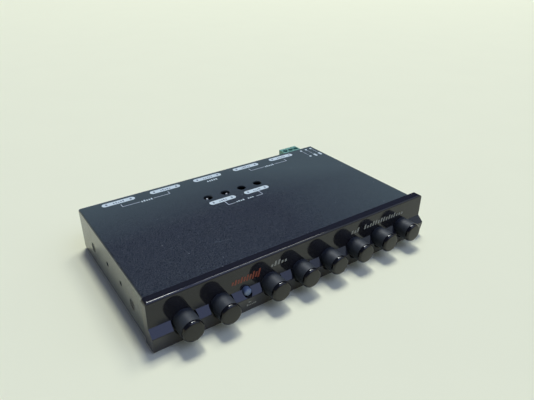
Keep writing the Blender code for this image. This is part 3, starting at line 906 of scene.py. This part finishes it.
def make_plug():
    """The pluggable terminal, with a screw well, a wire hole and a pin hole for each pole."""
    low, high = edges("terminal_plug")
    mouth = edges("terminal_header")[1].y
    front = mouth + 0.3
    body = block("terminal_plug_body", (low.x, high.x), (front, high.y), (low.z, high.z))
    narrow, thin = 1.5, 2.3
    tongue_x = (low.x + narrow, high.x - narrow)
    tongue = block("tongue", tongue_x, (low.y, front + 1), (low.z + thin, high.z - thin))
    boolean(body, tongue, "UNION")
    cuts = []
    poles = [centre_of(f"terminal_screw_{n}") for n in (1, 2, 3)]
    for pole in poles:
        wire_x = (pole.x - 1.8, pole.x + 1.8)
        cuts.append(rod(1.9, high.z - 4.0, high.z + 3, 40, "Z", (pole.x, pole.y, 0)))
        cuts.append(block("cut", wire_x, (high.y - 7, high.y + 5), WIRE_HOLE_Z))
        cuts.append(rod(0.8, mouth - 12, mouth - 2, 16, centre=(pole.x, 0, PIN_Z)))
    groove = 0.5
    for first, second in zip(poles, poles[1:]):
        x = (first.x + second.x) / 2
        xs = (x - 0.2, x + 0.2)
        cuts.append(block("cut", xs, (front + 1.5, high.y + 2), (high.z - groove, high.z + 2)))
        cuts.append(block("cut", xs, (high.y - groove, high.y + 1), (low.z - 1, high.z - 1.2)))
    boolean(body, merge("plug_cuts", cuts))
    bake(body)
    soften(body, 0.22, 2)
    dress(body, MATS["green"], "power_plug", ("terminal_plug",))
    for number, pole in enumerate(poles, 1):
        node = f"terminal_screw_{number}"
        foot, head = (corner.z for corner in edges(node))
        profile = ((0, foot), (1.6, foot), (1.6, head - 0.25), (1.4, head), (0, head))
        screw = turned(f"{node}_head", profile, 40, "Z", (pole.x, pole.y, 0))
        slot_x = (pole.x - 0.3, pole.x + 0.3)
        boolean(screw, block("slot", slot_x, (pole.y - 4, pole.y + 4), (head - 0.7, head + 2)))
        bake(screw)
        soften(screw, 0.06, 2)
        dress(screw, MATS["steel"], "power_plug", (node,))
        clamp_x = (pole.x - 1.7, pole.x + 1.7)
        clamp = block(f"terminal_clamp_{number}", clamp_x, (high.y - 6.8, high.y - 1.2), (9.5, 10.2))
        soften(clamp, 0.1, 2)
        dress(clamp, MATS["steel"], "power_plug")


make_cover()
make_cover_screws()
make_fascia()
make_knobs()
make_button()
make_top_marks()
make_front_marks()
make_rotors()
make_sockets()
make_plug()

# ---------------------------------------------------------------- floor, light and camera


def make_stage():
    look = Look("floor_paper", (0.85, 0.84, 0.62), 0.8)
    look.set(Specular_IOR_Level=0.08)
    look.tint(look.ramp(look.noise(60, 3.0), 0.4, 0.7, 0.0, 0.2), (0.82, 0.81, 0.60))
    look.bump(look.noise(0.8, 2.0), 0.02, 0.2)
    half = 4000
    floor = block("floor", (-half, half), (-half, half), (-10, -0.05))
    floor.data.materials.append(look.mat)


HORIZON = (0.72, 0.68, 0.48)
# Each patch of the surroundings: its direction, the cosines at its edge and at full strength, and its colour.
ROOM_PATCHES = (
    ((0, 0, 1), 0.10, 0.34, (0.05, 0.065, 0.14)),
    ((0.60, -0.45, 0.66), 0.84, 0.97, (0.66, 0.78, 0.95)),
    ((0.20, -0.56, 0.80), 0.89, 0.985, (1.05, 1.28, 2.20)),
    ((0.26, 0.30, 0.92), 0.955, 0.99, (0.45, 0.65, 1.60)),
)


def make_room():
    """Surroundings that glossy surfaces reflect: a pale horizon, a dim blue overhead and three bright patches."""
    world = bpy.data.worlds.new("studio")
    world.use_nodes = True
    nodes, links = world.node_tree.nodes, world.node_tree.links
    direction = nodes.new("ShaderNodeTexCoord").outputs["Generated"]
    color = None
    for toward, edge, full, tint in ROOM_PATCHES:
        dot = nodes.new("ShaderNodeVectorMath")
        dot.operation = "DOT_PRODUCT"
        dot.inputs[1].default_value = Vector(toward).normalized()
        links.new(direction, dot.inputs[0])
        fade = nodes.new("ShaderNodeMapRange")
        fade.interpolation_type = "SMOOTHSTEP"
        fade.inputs["From Min"].default_value = edge
        fade.inputs["From Max"].default_value = full
        links.new(dot.outputs["Value"], fade.inputs["Value"])
        mix = nodes.new("ShaderNodeMix")
        mix.data_type = "RGBA"
        if color:
            links.new(color, mix.inputs["A"])
        else:
            mix.inputs["A"].default_value = (*HORIZON, 1)
        mix.inputs["B"].default_value = (*tint, 1)
        links.new(fade.outputs["Result"], mix.inputs["Factor"])
        color = mix.outputs["Result"]
    links.new(color, nodes["Background"].inputs["Color"])
    bpy.context.scene.world = world


LAMP_COLOR = (0.97, 1.0, 0.92)
LAMPS = (
    ("lamp_left", (1.25, 2.0, 6.6), (1.3, 1.8), 260),
    ("lamp_right", (3.60, 2.0, 6.6), (2.4, 2.1), 140),
)


def add_lamp(name, place, size, power):
    """A flat panel that faces straight down, placed in metres."""
    light = bpy.data.lights.new(name, "AREA")
    light.shape = "RECTANGLE"
    light.size, light.size_y = size
    light.energy = power
    light.color = LAMP_COLOR
    obj = bpy.data.objects.new(name, light)
    obj.location = place
    bpy.context.scene.collection.objects.link(obj)


# The camera's place from the middle of the case's top front edge, in millimetres, and its turn in degrees.
CAMERA_OFFSET = (-144.0, -170.6, 142.6)
CAMERA_TURN = (61.508, -0.516, -34.962)
CAMERA_LENS = 32.69


def make_camera():
    camera = bpy.data.cameras.new("camera")
    camera.sensor_fit = "HORIZONTAL"
    camera.sensor_width = 36
    camera.lens = CAMERA_LENS
    camera.clip_start = 0.01
    obj = bpy.data.objects.new("camera", camera)
    obj.location = (Vector((0, FRONT, CASE_TOP)) + Vector(CAMERA_OFFSET)) * MM
    obj.rotation_euler = Euler([math.radians(angle) for angle in CAMERA_TURN])
    bpy.context.scene.collection.objects.link(obj)
    bpy.context.scene.camera = obj


make_stage()
make_room()
for lamp in LAMPS:
    add_lamp(*lamp)
make_camera()
bpy.context.scene.view_settings.view_transform = "Standard"
